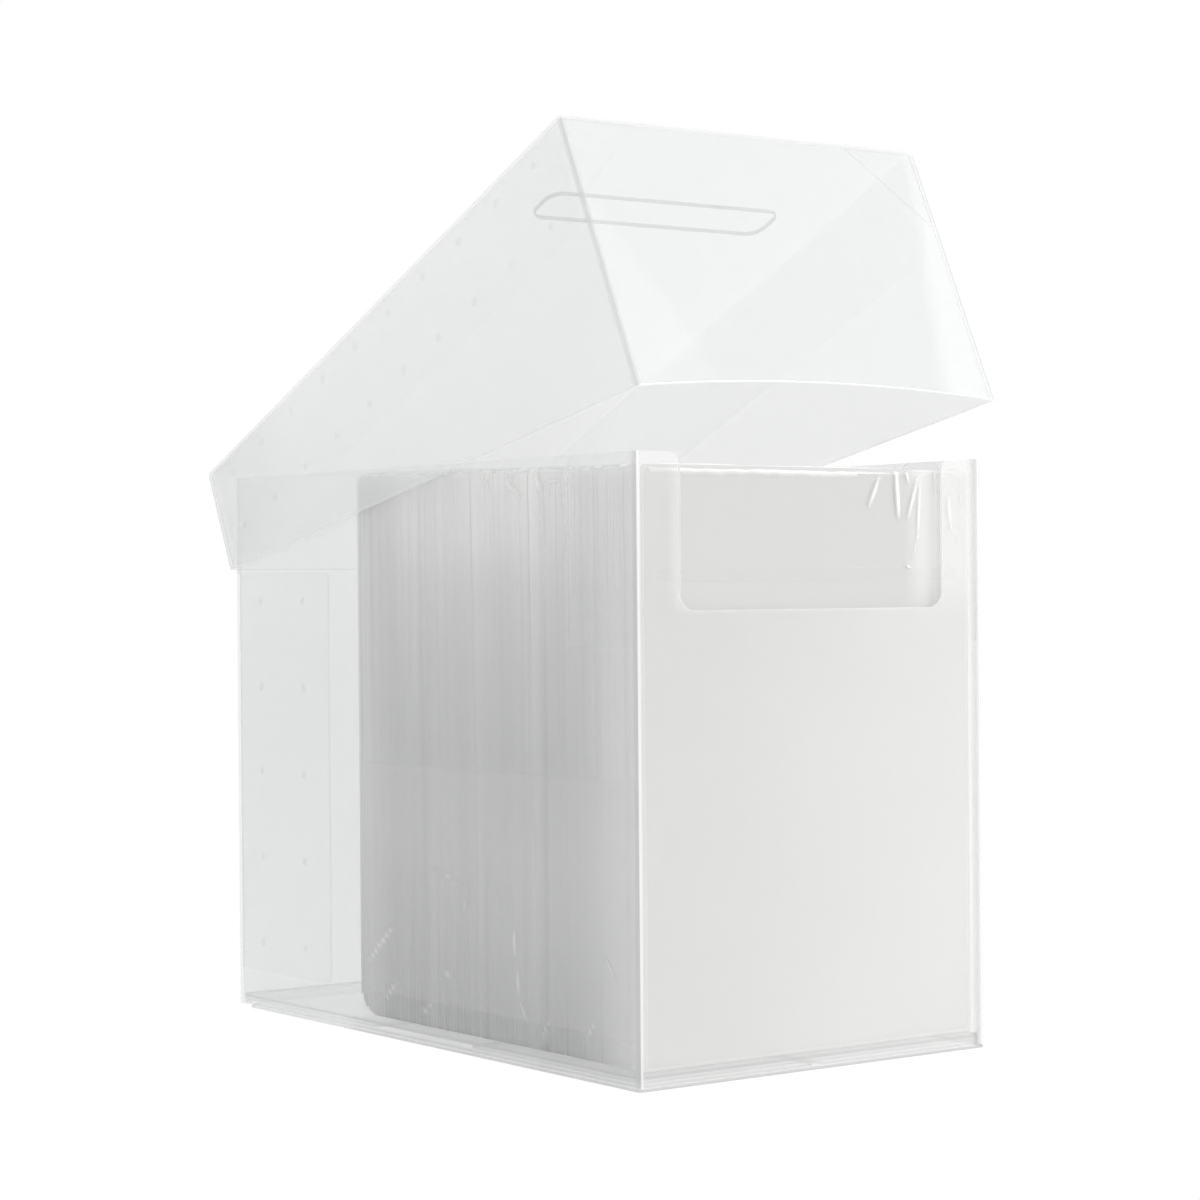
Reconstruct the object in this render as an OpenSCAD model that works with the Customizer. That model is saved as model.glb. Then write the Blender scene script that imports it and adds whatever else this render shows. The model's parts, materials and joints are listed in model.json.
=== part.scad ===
// Card deck box: a folded clear plastic box with a deep hinged lid and a
// film-wrapped pack of card sleeves standing inside it.
// The origin is at the middle of the underside, the front faces -Y and +Z is up.

/* [Box] */
// Outside width of the box
body_w = 70.6; // [64:0.2:90]
// Outside depth of the box, front to back
body_d = 121.5; // [95:0.5:160]
// Height of the box walls
body_h = 96; // [78:0.5:120]
// Thickness of the folded plastic sheet
sheet_t = 0.5; // [0.3:0.05:0.7]
// Height of each layer that the floor is folded from
floor_layer_t = 0.6; // [0.5:0.05:0.9]
// Cut across each back corner of the bottom panel
bottom_corner_cut = 4.5; // [1:0.5:10]
// Length of the front and back floor flaps
floor_flap_len = 46; // [20:1:46]

/* [Thumb notch] */
// Width of the notch in the front wall
notch_w = 53.4; // [30:0.2:53.4]
// Depth of the notch below the top of the wall
notch_depth = 24; // [10:0.5:40]
// Radius of the notch's bottom corners
notch_r = 2.5; // [1:0.5:6]
// Radius of the two corners where the notch meets the top of the wall
post_r = 1.6; // [0.5:0.1:3]

/* [Reinforcing flaps] */
// Width of the flaps folded forward from the back wall
back_flap_w = 31; // [20:0.5:44]
// Height of those flaps' lower edge
back_flap_low = 7; // [4:0.5:20]
// Width of the tabs folded back from the front wall
front_tab_w = 17.7; // [8:0.1:25]
// Height of those tabs
front_tab_h = 29.5; // [10:0.5:45]
// Cut across the free corners of the flaps and tabs
flap_corner_cut = 1.5; // [0.5:0.1:3]
// Diameter of a weld spot
weld_d = 1.8; // [1:0.1:3]
// How far a weld spot stands proud of the sheet
weld_h = 0.1; // [0.05:0.01:0.15]
// Rows of weld spots on each side of the box
weld_rows = 5; // [2:1:8]

/* [Lid] */
// Angle that the lid stands open at rest
lid_open = 24.5; // [1:0.5:90]
// Distance from the top of the walls down to the hinge crease
hinge_drop = 17; // [8:0.5:24]
// Room between the top of the walls and the closed lid
lid_headroom = 2.5; // [1:0.5:8]
// Height of the lid's front wall
lid_front_h = 47.3; // [30:0.5:60]
// Rise of the middle of the lid's front rim
rim_rise = 1.8; // [0.5:0.1:4]
// Clearance between the lid's side flaps and the box
lid_side_gap = 0.25; // [0.2:0.01:0.6]
// Clearance between the box's front corners and the swinging lid
swing_gap = 0.15; // [0.1:0.05:1]
// Depth of the flaps folded down from the lid's top
lid_flap_h = 18; // [10:0.5:18]
// Width of the corner tabs behind the lid's front wall
corner_tab_w = 14.5; // [6:0.5:20]
// Height of the corner tabs
corner_tab_h = 13; // [6:0.5:13]
// Weld spots in each row along the lid's sides
lid_weld_count = 10; // [3:1:14]
// Distance of the two weld rows from the lid's top
lid_weld_rows = [4, 15];

/* [Window emboss] */
// Width of the embossed outline on the lid
emboss_w = 48; // [20:1:54]
// Depth of the embossed outline, front to back
emboss_d = 7.6; // [5:0.2:14]
// Distance of the outline from the lid's front edge
emboss_from_front = 21.5; // [10:0.5:40]
// Width of the embossed line
emboss_line = 0.7; // [0.4:0.1:1.2]
// Height of the embossed line
emboss_h = 0.15; // [0.1:0.05:0.3]

/* [Sleeve pack] */
// Bundles of sleeves in the pack
bundle_count = 9; // [4:1:10]
// Thickness of one bundle
bundle_t = 9; // [5:0.1:9.5]
// Thickness of the wrapping film
film_t = 0.15; // [0.1:0.01:0.2]
// Room between the pack and the side flaps
pack_side_gap = 0.7; // [0.5:0.1:2]
// Room under the pack
pack_floor_gap = 0.3; // [0.2:0.1:1]
// Room between the pack and the front wall
pack_front_gap = 0.6; // [0.5:0.1:4]
// Distance from the top of the walls down to the top of the pack
pack_drop = 1.6; // [1:0.1:10]
// Corner radius of the sleeves
sleeve_r = 2.5; // [1:0.5:5]
// Height of the film's lap along the sides, above the pack's underside
lap_h = 42; // [20:1:60]
// Width of the film's sealed seam across the front
seam_w = 2; // [1:0.5:4]
// Distance from the top of the pack down to that seam
seam_drop = 16; // [8:0.5:40]

/* [Hidden] */
$fn = 64;

// Box
half_w = body_w / 2;
half_d = body_d / 2;
inner_half_w = half_w - sheet_t;
inner_half_d = half_d - sheet_t;
wall_low = sheet_t;
floor_low = sheet_t;
floor_top = floor_low + 3 * floor_layer_t;
floor_seam = 1;
hinge_z = body_h - hinge_drop;
crease_r = sheet_t / 2;
crease_gap = 0.05;
side_wall_relief = 0.3;

// Weld spots on the sides of the box, measured from the back
weld_columns = [9.3, 24];
weld_edge = 5.5;
weld_low = back_flap_low + weld_edge;
weld_pitch = (hinge_z - 2 * weld_edge - back_flap_low) / (weld_rows - 1);

// Lid, in its own frame: x across, y forward of the hinge, z above it when closed
lid_half_w = half_w + lid_side_gap + 2 * sheet_t;
lid_back_h = hinge_drop + lid_headroom + sheet_t;
swing_reach = sqrt(body_d * body_d + hinge_drop * hinge_drop) - body_d;
lid_len = body_d + swing_reach + swing_gap + 2 * sheet_t;
lid_rim_z = lid_back_h - lid_front_h;
lid_under_top = lid_back_h - sheet_t;
lid_back_low = crease_r + crease_gap;
lid_side_low = 0.3;
lid_flap_inset = 2;
lid_weld_inset = 9;
lid_weld_pitch = (lid_len - 2 * lid_weld_inset) / (lid_weld_count - 1);

// Pack
pack_half_w = half_w - 2 * sheet_t - pack_side_gap;
pack_low = floor_top + pack_floor_gap;
pack_top = body_h - pack_drop;
pack_h = pack_top - pack_low;
pack_d = bundle_count * bundle_t + 2 * film_t;
pack_front = -inner_half_d + pack_front_gap;
lap_inset = 2;
seam_inset = 3;
film_ply_t = 0.12;
lap_rise = 1.5;

sheet_color = [0.93, 0.95, 0.95, 0.45];
flap_color = [0.88, 0.91, 0.91, 0.5];
sleeve_color = [0.80, 0.81, 0.82];
film_color = [0.95, 0.96, 0.98, 0.4];

// Lays a flat shape along the box: its x runs backwards and its y upwards
module along_side(x_low, thickness) {
    translate([x_low, 0, 0])
        rotate([90, 0, 90])
            linear_extrude(thickness) children();
}

// Stands a flat shape across the box: its x runs to the right and its y upwards
module across_box(y_low, thickness) {
    translate([0, y_low + thickness, 0])
        rotate([90, 0, 0])
            linear_extrude(thickness) children();
}

// Keeps a shape drawn on the left, or mirrors it to the right
module on_side(side) {
    if (side == "left") children();
    else mirror([1, 0, 0]) children();
}

// Swings a shape drawn on the closed lid, about the hinge, to where the lid stands
module on_lid() {
    translate([0, half_d, hinge_z])
        rotate([-lid_open, 0, 0]) children();
}

// A weld spot on a sheet whose outer face is at x_face on the left
module weld_spot(x_face, y, z) {
    translate([x_face - weld_h, y, z])
        rotate([0, 90, 0])
            cylinder(h = weld_h + sheet_t / 2, d = weld_d);
}

// ---- Floor: four flaps folded over each other above the bottom panel ----

module bottom_panel() {
    color(sheet_color)
        linear_extrude(sheet_t)
            polygon([
                [-half_w, -half_d], [half_w, -half_d],
                [half_w, half_d - bottom_corner_cut], [half_w - bottom_corner_cut, half_d],
                [-half_w + bottom_corner_cut, half_d], [-half_w, half_d - bottom_corner_cut]
            ]);
}

module bottom_flap_side(side) {
    color(flap_color)
        on_side(side)
            translate([-inner_half_w, -inner_half_d, floor_low])
                cube([inner_half_w - floor_seam / 2, 2 * inner_half_d, floor_layer_t]);
}

module bottom_flap_front() {
    color(flap_color)
        translate([-inner_half_w, -inner_half_d, floor_low + floor_layer_t])
            cube([2 * inner_half_w, floor_flap_len, floor_layer_t]);
}

module bottom_flap_back() {
    color(flap_color)
        translate([-inner_half_w, inner_half_d - floor_flap_len, floor_low + floor_layer_t])
            cube([2 * inner_half_w, floor_flap_len, floor_layer_t]);
}

module floor_pad() {
    color(flap_color)
        translate([-inner_half_w, -inner_half_d, floor_low + 2 * floor_layer_t])
            cube([2 * inner_half_w, 2 * inner_half_d, floor_layer_t]);
}

// ---- Walls ----

// The notch's outline, with its round bottom corners and the rounded tops of the posts
module notch_outline() {
    notch_low = body_h - notch_depth;
    translate([-notch_w / 2, notch_low + notch_r])
        square([notch_w, notch_depth - notch_r]);
    translate([-notch_w / 2 + notch_r, notch_low])
        square([notch_w - 2 * notch_r, notch_depth]);
    for (side = [-1, 1]) {
        translate([side * (notch_w / 2 - notch_r), notch_low + notch_r])
            circle(notch_r);
        difference() {
            translate([side * (notch_w + post_r) / 2, body_h - post_r / 2])
                square(post_r, center = true);
            translate([side * (notch_w / 2 + post_r), body_h - post_r])
                circle(post_r);
        }
    }
}

module front_panel() {
    color(sheet_color)
        across_box(-half_d, sheet_t)
            difference() {
                translate([-half_w, wall_low])
                    square([body_w, body_h - wall_low]);
                notch_outline();
            }
}

module side_panel(side) {
    color(sheet_color)
        on_side(side)
            union() {
                along_side(-half_w, sheet_t)
                    polygon([
                        [-inner_half_d, wall_low], [inner_half_d, wall_low],
                        [inner_half_d, hinge_z - side_wall_relief],
                        [inner_half_d - side_wall_relief, hinge_z],
                        [inner_half_d - side_wall_relief, body_h], [-inner_half_d, body_h]
                    ]);
                for (column = weld_columns, row = [0 : weld_rows - 1])
                    weld_spot(-half_w, half_d - column, weld_low + row * weld_pitch);
            }
}

module back_panel() {
    color(sheet_color)
        difference() {
            across_box(inner_half_d, sheet_t)
                translate([-half_w, wall_low])
                    square([body_w, hinge_z - wall_low]);
            hinge_rod(crease_r, body_w + 2);
        }
}

// The crease between the back wall and the lid, thinned to a round web
module hinge_rod(radius, length) {
    translate([-length / 2, half_d, hinge_z])
        rotate([0, 90, 0])
            cylinder(h = length, r = radius);
}

module hinge_crease() {
    color(flap_color) hinge_rod(crease_r, body_w);
}

// ---- Reinforcing flaps inside the side walls ----

module back_flap(side) {
    flap_front = inner_half_d - back_flap_w;
    flap_top = hinge_z - side_wall_relief;
    color(flap_color)
        on_side(side)
            along_side(-inner_half_w, sheet_t)
                polygon([
                    [flap_front, back_flap_low + flap_corner_cut],
                    [flap_front + flap_corner_cut, back_flap_low],
                    [inner_half_d, back_flap_low], [inner_half_d, flap_top],
                    [flap_front + flap_corner_cut, flap_top],
                    [flap_front, flap_top - flap_corner_cut]
                ]);
}

module front_tab(side) {
    tab_back = -inner_half_d + front_tab_w;
    tab_low = body_h - front_tab_h;
    color(flap_color)
        on_side(side)
            along_side(-inner_half_w, sheet_t)
                polygon([
                    [-inner_half_d, tab_low], [tab_back - flap_corner_cut, tab_low],
                    [tab_back, tab_low + flap_corner_cut],
                    [tab_back, body_h - flap_corner_cut],
                    [tab_back - flap_corner_cut, body_h], [-inner_half_d, body_h]
                ]);
}

// ---- Pack of sleeves ----

// The outline of a sleeve, seen from the front
module sleeve_outline(grow) {
    low = pack_low + film_t - grow;
    width = 2 * (pack_half_w - film_t + grow);
    height = pack_h - 2 * film_t + 2 * grow;
    radius = sleeve_r + grow;
    translate([-width / 2, low]) {
        translate([radius, 0]) square([width - 2 * radius, height]);
        translate([0, radius]) square([width, height - 2 * radius]);
        for (x = [radius, width - radius], y = [radius, height - radius])
            translate([x, y]) circle(radius);
    }
}

module sleeve_bundle(i) {
    shade = i % 2 == 0 ? 0.97 : 1;
    color(sleeve_color * shade)
        across_box(pack_front + film_t + (i - 1) * bundle_t, bundle_t)
            sleeve_outline(0);
}

module film_wrap() {
    color(film_color)
        difference() {
            across_box(pack_front, pack_d) sleeve_outline(film_t);
            across_box(pack_front + film_t, pack_d - 2 * film_t) sleeve_outline(0);
        }
}

// The ply of film that is folded up over the side of the pack
module film_lap(side) {
    lap_low = pack_low + sleeve_r + lap_inset;
    lap_high = pack_low + lap_h;
    lap_front = pack_front + lap_inset;
    lap_back = pack_front + pack_d - lap_inset;
    color(film_color)
        on_side(side)
            along_side(-pack_half_w - film_ply_t, film_ply_t)
                polygon([
                    [lap_front, lap_low], [lap_back, lap_low],
                    [lap_back, lap_high + lap_rise], [lap_front, lap_high]
                ]);
}

module film_seam() {
    seam_low = pack_top - seam_drop - seam_w;
    color(film_color)
        across_box(pack_front - film_ply_t, film_ply_t)
            translate([-pack_half_w + seam_inset, seam_low])
                square([2 * (pack_half_w - seam_inset), seam_w]);
}

// ---- Lid, drawn closed with the hinge at y = 0 and z = 0 ----

module lid_top_panel() {
    emboss_back = -lid_len + emboss_from_front + emboss_d;
    color(sheet_color)
        on_lid()
            union() {
                translate([-lid_half_w, -lid_len, lid_under_top])
                    cube([2 * lid_half_w, lid_len, sheet_t]);
                translate([0, emboss_back - emboss_d / 2, lid_under_top + sheet_t / 2])
                    linear_extrude(sheet_t / 2 + emboss_h)
                        emboss_outline();
            }
}

// A line that runs round an oblong with round ends
module emboss_outline() {
    difference() {
        oblong(emboss_w, emboss_d);
        oblong(emboss_w - 2 * emboss_line, emboss_d - 2 * emboss_line);
    }
}

module oblong(length, width) {
    square([length - width, width], center = true);
    for (side = [-1, 1])
        translate([side * (length - width) / 2, 0]) circle(d = width);
}

module lid_front_panel() {
    rim_half = lid_half_w - sheet_t;
    arc_r = (rim_half * rim_half + rim_rise * rim_rise) / (2 * rim_rise);
    color(sheet_color)
        on_lid()
            across_box(-lid_len, sheet_t)
                difference() {
                    translate([-lid_half_w, lid_rim_z])
                        square([2 * lid_half_w, lid_front_h - sheet_t]);
                    translate([0, lid_rim_z + rim_rise - arc_r])
                        circle(arc_r, $fn = 256);
                }
}

module lid_back_panel() {
    color(sheet_color)
        on_lid()
            translate([-lid_half_w + sheet_t, -sheet_t, lid_back_low])
                cube([2 * (lid_half_w - sheet_t), sheet_t, lid_under_top - lid_back_low]);
}

module lid_side_panel(side) {
    rim_slope = lid_rim_z / lid_len;
    lid_inner_front = -lid_len + sheet_t;
    color(sheet_color)
        on_lid()
            on_side(side)
                union() {
                    along_side(-lid_half_w, sheet_t)
                        polygon([
                            [0, lid_side_low], [0, lid_under_top],
                            [lid_inner_front, lid_under_top],
                            [lid_inner_front, -lid_inner_front * rim_slope]
                        ]);
                    for (drop = lid_weld_rows, i = [0 : lid_weld_count - 1])
                        weld_spot(
                            -lid_half_w,
                            -lid_weld_inset - i * lid_weld_pitch,
                            lid_back_h - drop
                        );
                }
}

module lid_flap(side) {
    flap_back = -sheet_t - lid_flap_inset;
    flap_front = -lid_len + 2 * sheet_t + lid_flap_inset;
    flap_low = lid_under_top - lid_flap_h;
    color(flap_color)
        on_lid()
            on_side(side)
                along_side(-lid_half_w + sheet_t, sheet_t)
                    polygon([
                        [flap_back, lid_under_top], [flap_front, lid_under_top],
                        [flap_front, flap_low + flap_corner_cut],
                        [flap_front + flap_corner_cut, flap_low],
                        [flap_back - flap_corner_cut, flap_low],
                        [flap_back, flap_low + flap_corner_cut]
                    ]);
}

module lid_corner_tab(side) {
    tab_left = -lid_half_w + sheet_t;
    color(flap_color)
        on_lid()
            on_side(side)
                across_box(-lid_len + sheet_t, sheet_t)
                    polygon([
                        [tab_left, lid_under_top], [tab_left, lid_under_top - corner_tab_h],
                        [tab_left + corner_tab_w, lid_under_top]
                    ]);
}

bottom_panel();
bottom_flap_side("left");  // bottom_flap_left
bottom_flap_side("right");  // bottom_flap_right
bottom_flap_front();
bottom_flap_back();
floor_pad();
front_panel();
side_panel("left");  // left_side_panel
side_panel("right");  // right_side_panel
back_panel();
back_flap("left");  // back_flap_left
back_flap("right");  // back_flap_right
front_tab("left");  // front_tab_left
front_tab("right");  // front_tab_right
hinge_crease();
for (i = [1 : bundle_count])
    sleeve_bundle(i);
film_wrap();
film_lap("left");  // film_lap_left
film_lap("right");  // film_lap_right
film_seam();
lid_top_panel();
lid_front_panel();
lid_back_panel();
lid_side_panel("left");  // lid_left_panel
lid_side_panel("right");  // lid_right_panel
lid_flap("left");  // lid_flap_left
lid_flap("right");  // lid_flap_right
lid_corner_tab("left");  // lid_corner_tab_left
lid_corner_tab("right");  // lid_corner_tab_right
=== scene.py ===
import json
import math
import bmesh
import bpy
from mathutils import Matrix, Vector, noise


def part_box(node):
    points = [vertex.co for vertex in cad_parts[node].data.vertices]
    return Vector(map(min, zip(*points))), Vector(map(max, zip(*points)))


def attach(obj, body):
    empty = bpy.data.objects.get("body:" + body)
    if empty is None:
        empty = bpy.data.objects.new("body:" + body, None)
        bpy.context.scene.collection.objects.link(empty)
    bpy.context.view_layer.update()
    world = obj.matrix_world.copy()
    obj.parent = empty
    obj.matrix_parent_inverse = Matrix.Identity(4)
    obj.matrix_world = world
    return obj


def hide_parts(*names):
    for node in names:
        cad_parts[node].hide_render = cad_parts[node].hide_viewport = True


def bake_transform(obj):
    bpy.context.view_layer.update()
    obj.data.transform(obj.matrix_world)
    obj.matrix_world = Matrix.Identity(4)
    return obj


# Clear folded card box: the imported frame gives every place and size, in metres
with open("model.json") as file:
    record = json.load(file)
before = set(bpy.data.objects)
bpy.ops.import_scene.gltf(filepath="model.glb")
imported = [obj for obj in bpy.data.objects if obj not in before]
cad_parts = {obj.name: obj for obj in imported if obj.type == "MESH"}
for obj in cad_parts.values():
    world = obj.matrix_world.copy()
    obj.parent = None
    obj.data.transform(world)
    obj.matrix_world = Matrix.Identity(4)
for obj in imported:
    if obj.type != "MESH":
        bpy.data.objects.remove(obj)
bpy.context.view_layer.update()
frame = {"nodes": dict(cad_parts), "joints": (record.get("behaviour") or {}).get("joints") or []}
mm = 0.001


def clearSelection():
    if bpy.context.object and bpy.context.object.mode != "OBJECT":
        bpy.ops.object.mode_set(mode="OBJECT")
    bpy.ops.object.select_all(action="DESELECT")


def makeActive(piece):
    clearSelection()
    piece.select_set(True)
    bpy.context.view_layer.objects.active = piece


def isAlong(direction, axis):
    # near enough to one axis, whichever way it points
    return abs(direction["XYZ".index(axis)]) > 0.9


def addBlock(name, low, high):
    clearSelection()
    low, high = Vector(low), Vector(high)
    bpy.ops.mesh.primitive_cube_add(size=1, location=(low + high) / 2, scale=high - low)
    piece = bpy.context.object
    piece.name = piece.data.name = name
    bpy.ops.object.transform_apply(location=True, rotation=True, scale=True)
    return piece


def pickInEditMode(piece, kind, test):
    # selects verts, edges or faces by place, and direction or normal; leaves the piece in edit mode
    makeActive(piece)
    bpy.ops.object.mode_set(mode="EDIT")
    bpy.ops.mesh.select_mode(type=kind)
    bpy.ops.mesh.select_all(action="DESELECT")
    bm = bmesh.from_edit_mesh(piece.data)
    if kind == "VERT":
        for v in bm.verts:
            v.select_set(bool(test(v.co)))
    elif kind == "EDGE":
        for e in bm.edges:
            a, b = e.verts[0].co, e.verts[1].co
            e.select_set(bool(test((a + b) / 2, (b - a).normalized())))
    else:
        for f in bm.faces:
            f.select_set(bool(test(f.calc_center_median(), f.normal)))
    bmesh.update_edit_mesh(piece.data)


def leaveEditMode():
    bpy.ops.object.mode_set(mode="OBJECT")


def bevelEdges(piece, test, width, segments):
    pickInEditMode(piece, "EDGE", test)
    bpy.ops.mesh.bevel(offset=width, segments=segments, affect="EDGES", profile=0.5)
    leaveEditMode()


def removeFaces(piece, test):
    pickInEditMode(piece, "FACE", test)
    bpy.ops.mesh.delete(type="FACE")
    leaveEditMode()


def moveVerts(piece, test, shift):
    pickInEditMode(piece, "VERT", test)
    bpy.ops.transform.translate(value=shift)
    leaveEditMode()


def splitEdges(piece, test, cuts):
    pickInEditMode(piece, "EDGE", test)
    bpy.ops.mesh.subdivide(number_cuts=cuts)
    leaveEditMode()


def applyModifier(piece, kind, **settings):
    makeActive(piece)
    added = piece.modifiers.new(kind.title(), kind)
    for key, value in settings.items():
        setattr(added, key, value)
    bpy.ops.object.modifier_apply(modifier=added.name)


def softenEdges(piece, width, angle=50, segments=2):
    applyModifier(
        piece, "BEVEL", width=width, segments=segments,
        limit_method="ANGLE", angle_limit=math.radians(angle), harden_normals=False
    )


def smoothBy(piece, angle=40, weighted=True):
    makeActive(piece)
    bpy.ops.object.shade_smooth_by_angle(angle=math.radians(angle))
    if weighted:
        applyModifier(piece, "WEIGHTED_NORMAL", keep_sharp=True, weight=100)


def cutAway(piece, cutter):
    applyModifier(piece, "BOOLEAN", operation="DIFFERENCE", object=cutter, solver="EXACT")
    bpy.data.objects.remove(cutter, do_unlink=True)


def joinPieces(pieces, name):
    clearSelection()
    for piece in pieces:
        piece.select_set(True)
    bpy.context.view_layer.objects.active = pieces[0]
    if len(pieces) > 1:
        bpy.ops.object.join()
    pieces[0].name = pieces[0].data.name = name
    return pieces[0]


def setMaterials(piece, *materials):
    piece.data.materials.clear()
    for material in materials:
        piece.data.materials.append(material)


def markFaces(piece, slotIndex, test):
    for f in piece.data.polygons:
        if test(f.center, f.normal):
            f.material_index = slotIndex


def handOver(piece, body, slotName, *nodes):
    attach(piece, body)
    if nodes:
        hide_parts(*nodes)


lidJoint = next(j for j in frame["joints"] if j["name"] == "lid_hinge")
hingePoint = Vector(lidJoint["pos_m"])
lidAxis = Vector(lidJoint["axis"])
restAngle = -math.radians(lidJoint["range_deg"][0])


def aboutHinge(angle):
    turn = Matrix.Rotation(angle, 4, lidAxis)
    return Matrix.Translation(hingePoint) @ turn @ Matrix.Translation(-hingePoint)


openLid = aboutHinge(restAngle)
closeLid = aboutHinge(-restAngle)


def closedBox(node):
    places = [closeLid @ v.co for v in frame["nodes"][node].data.vertices]
    low = Vector(min(p[i] for p in places) for i in range(3))
    high = Vector(max(p[i] for p in places) for i in range(3))
    return low, high


def swingToRest(piece):
    piece.data.transform(openLid)
    piece.data.update()


def nodeAdder(material):
    nodes, links = material.node_tree.nodes, material.node_tree.links

    def add(kind, inputs=None, **settings):
        made = nodes.new(kind)
        for key, value in settings.items():
            setattr(made, key, value)
        for key, value in (inputs or {}).items():
            if isinstance(value, bpy.types.NodeSocket):
                links.new(value, made.inputs[key])
            else:
                made.inputs[key].default_value = value
        return made
    return add, links


unstretched = (1, 1, 1)


def placedNoise(add, spot, stretch, scale, detail, rough=0.5):
    mapped = add("ShaderNodeMapping", {"Vector": spot, "Scale": stretch})
    return add(
        "ShaderNodeTexNoise",
        {"Vector": mapped.outputs["Vector"], "Scale": scale, "Detail": detail, "Roughness": rough}
    ).outputs["Fac"]


def mapRange(add, value, source=(0, 1), target=(0, 1), kind="LINEAR"):
    return add(
        "ShaderNodeMapRange",
        {"Value": value, "From Min": source[0], "From Max": source[1],
         "To Min": target[0], "To Max": target[1]},
        interpolation_type=kind
    ).outputs["Result"]


def combine(add, operation, first, second):
    return add("ShaderNodeMath", {0: first, 1: second}, operation=operation).outputs["Value"]


def startMaterial(name):
    material = bpy.data.materials.new(name)
    material.use_nodes = True
    material.node_tree.nodes.clear()
    add, links = nodeAdder(material)
    return material, add, links, add("ShaderNodeTexCoord").outputs["Object"]


def principled(add, links, inputs):
    shader = add("ShaderNodeBsdfPrincipled", inputs)
    out = add("ShaderNodeOutputMaterial")
    links.new(shader.outputs["BSDF"], out.inputs["Surface"])


def greyRamp(add, value, stops, warmth=1.0):
    ramp = add("ShaderNodeValToRGB", {"Fac": value})
    while len(ramp.color_ramp.elements) < len(stops):
        ramp.color_ramp.elements.new(0.5)
    for stop, (place, grey) in zip(ramp.color_ramp.elements, stops):
        stop.position = place
        stop.color = (grey, grey, grey * warmth, 1)
    return ramp.outputs["Color"]


def plasticMaterial(name, look):
    # one recipe for all the clear sheet: cloudy tone, fine haze and a faint unevenness
    material, add, links, spot = startMaterial(name)
    cloudy = placedNoise(add, spot, unstretched, look["cloudScale"], 3.0)
    tone = add("ShaderNodeValToRGB", {"Fac": cloudy})
    for stop, place, shown in zip(tone.color_ramp.elements, look["cloudEnds"], ("dark", "light")):
        stop.position = place
        stop.color = (*look[shown], 1)
    haze = placedNoise(add, spot, unstretched, look["hazeScale"], 4.0)
    rough = mapRange(add, haze, look["hazeEnds"], look["rough"])
    wave = placedNoise(add, spot, unstretched, look["waveScale"], 1.0)
    bump = add(
        "ShaderNodeBump",
        {"Height": wave, "Strength": look["bump"], "Distance": look["waveDepth"]}
    )
    parts = add("ShaderNodeSeparateXYZ", {"Vector": spot})
    colour = tone.outputs["Color"]
    for tilt, stops in look["slopes"]:
        # painted light and shade: paler or darker bands that run down the sheet, leaning by tilt
        leaning = add(
            "ShaderNodeMath", {0: parts.outputs["Z"], 1: tilt, 2: parts.outputs["X"]},
            operation="MULTIPLY_ADD"
        ).outputs["Value"]
        middle = tilt * look["slopeTop"]
        across = mapRange(add, leaning, (middle - look["slopeSpan"], middle + look["slopeSpan"]))
        paintedBand = greyRamp(add, across, stops)
        colour = add(
            "ShaderNodeVectorMath", {0: colour, 1: paintedBand}, operation="MULTIPLY"
        ).outputs["Vector"]
    if look["shade"]:
        # painted shade: one tone in front of the first depth, another behind the second
        depths, tones = look["shade"][:2], look["shade"][2:]
        shading = mapRange(add, parts.outputs["Y"], depths, tones)
        colour = add(
            "ShaderNodeVectorMath", {0: colour, "Scale": shading}, operation="SCALE"
        ).outputs["Vector"]
    principled(add, links, {
        "Base Color": colour, "Roughness": rough, "Normal": bump.outputs["Normal"],
        "Alpha": look["alpha"], "IOR": look["ior"]
    })
    return material


sheetLook = {
    "dark": (0.79, 0.80, 0.80), "light": (0.83, 0.84, 0.84), "cloudScale": 16,
    "cloudEnds": (0.32, 0.68), "hazeScale": 900, "hazeEnds": (0.3, 0.7),
    "waveScale": 35, "rough": (0.30, 0.42), "bump": 0.2, "waveDepth": 0.0005, "alpha": 0.25,
    "ior": 1.45, "slopes": [], "slopeTop": 0.148, "slopeSpan": 0.037, "shade": ()
}


def sheetMaterial(name, dark, light, alpha, **more):
    return plasticMaterial(
        name, {**sheetLook, "dark": dark, "light": light, "alpha": alpha, **more}
    )


clearSheet = plasticMaterial("clearSheet", sheetLook)
# the front's sheet is painted paler than the walls, and paler still to the right and lower down, as
# if lit from the front-right; a thin band at its right end gets painted shade
litFrontSheet = sheetMaterial(
    "litFrontSheet", (0.885, 0.885, 0.87), (0.925, 0.93, 0.92), 0.24, slopeTop=0.05, slopes=[
        (0, [(0, 1.0), (0.94, 1.0), (0.952, 0.66), (1, 0.56)]),
        (-0.3, [(0, 0.95), (1, 1.10)])
    ]
)
# the lid's front is painted darker than the rest of the lid, with painted reflections, a bright band
# by its right edge and a paler wedge at its left, and painted shade right of and below a steep
# diagonal
lidFrontShadeReflections = sheetMaterial(
    "lidFrontShadeReflections", (0.645, 0.655, 0.66), (0.685, 0.695, 0.70), 0.25, slopeSpan=0.074, slopes=[
        (-0.22, [(0, 1), (0.725, 1), (0.745, 1.30), (0.75, 1.34)]),
        (0.53, [(0, 1.11), (0.208, 1.11), (0.226, 1.0), (1, 1.0)]),
        (-1.64, [(0, 1.03), (0.732, 1.03), (0.75, 0.94), (1, 0.94)])
    ]
)
clearFlap = plasticMaterial("clearFlap", {**sheetLook, "alpha": 0.05})
lidPlastic = sheetMaterial(
    "lidPlastic", (0.83, 0.84, 0.84), (0.87, 0.88, 0.88), 0.25, shade=(0.040, 0.062, 1.0, 0.86)
)
lidFlap = plasticMaterial("lidFlap", {**sheetLook, "alpha": 0.03})
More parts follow.
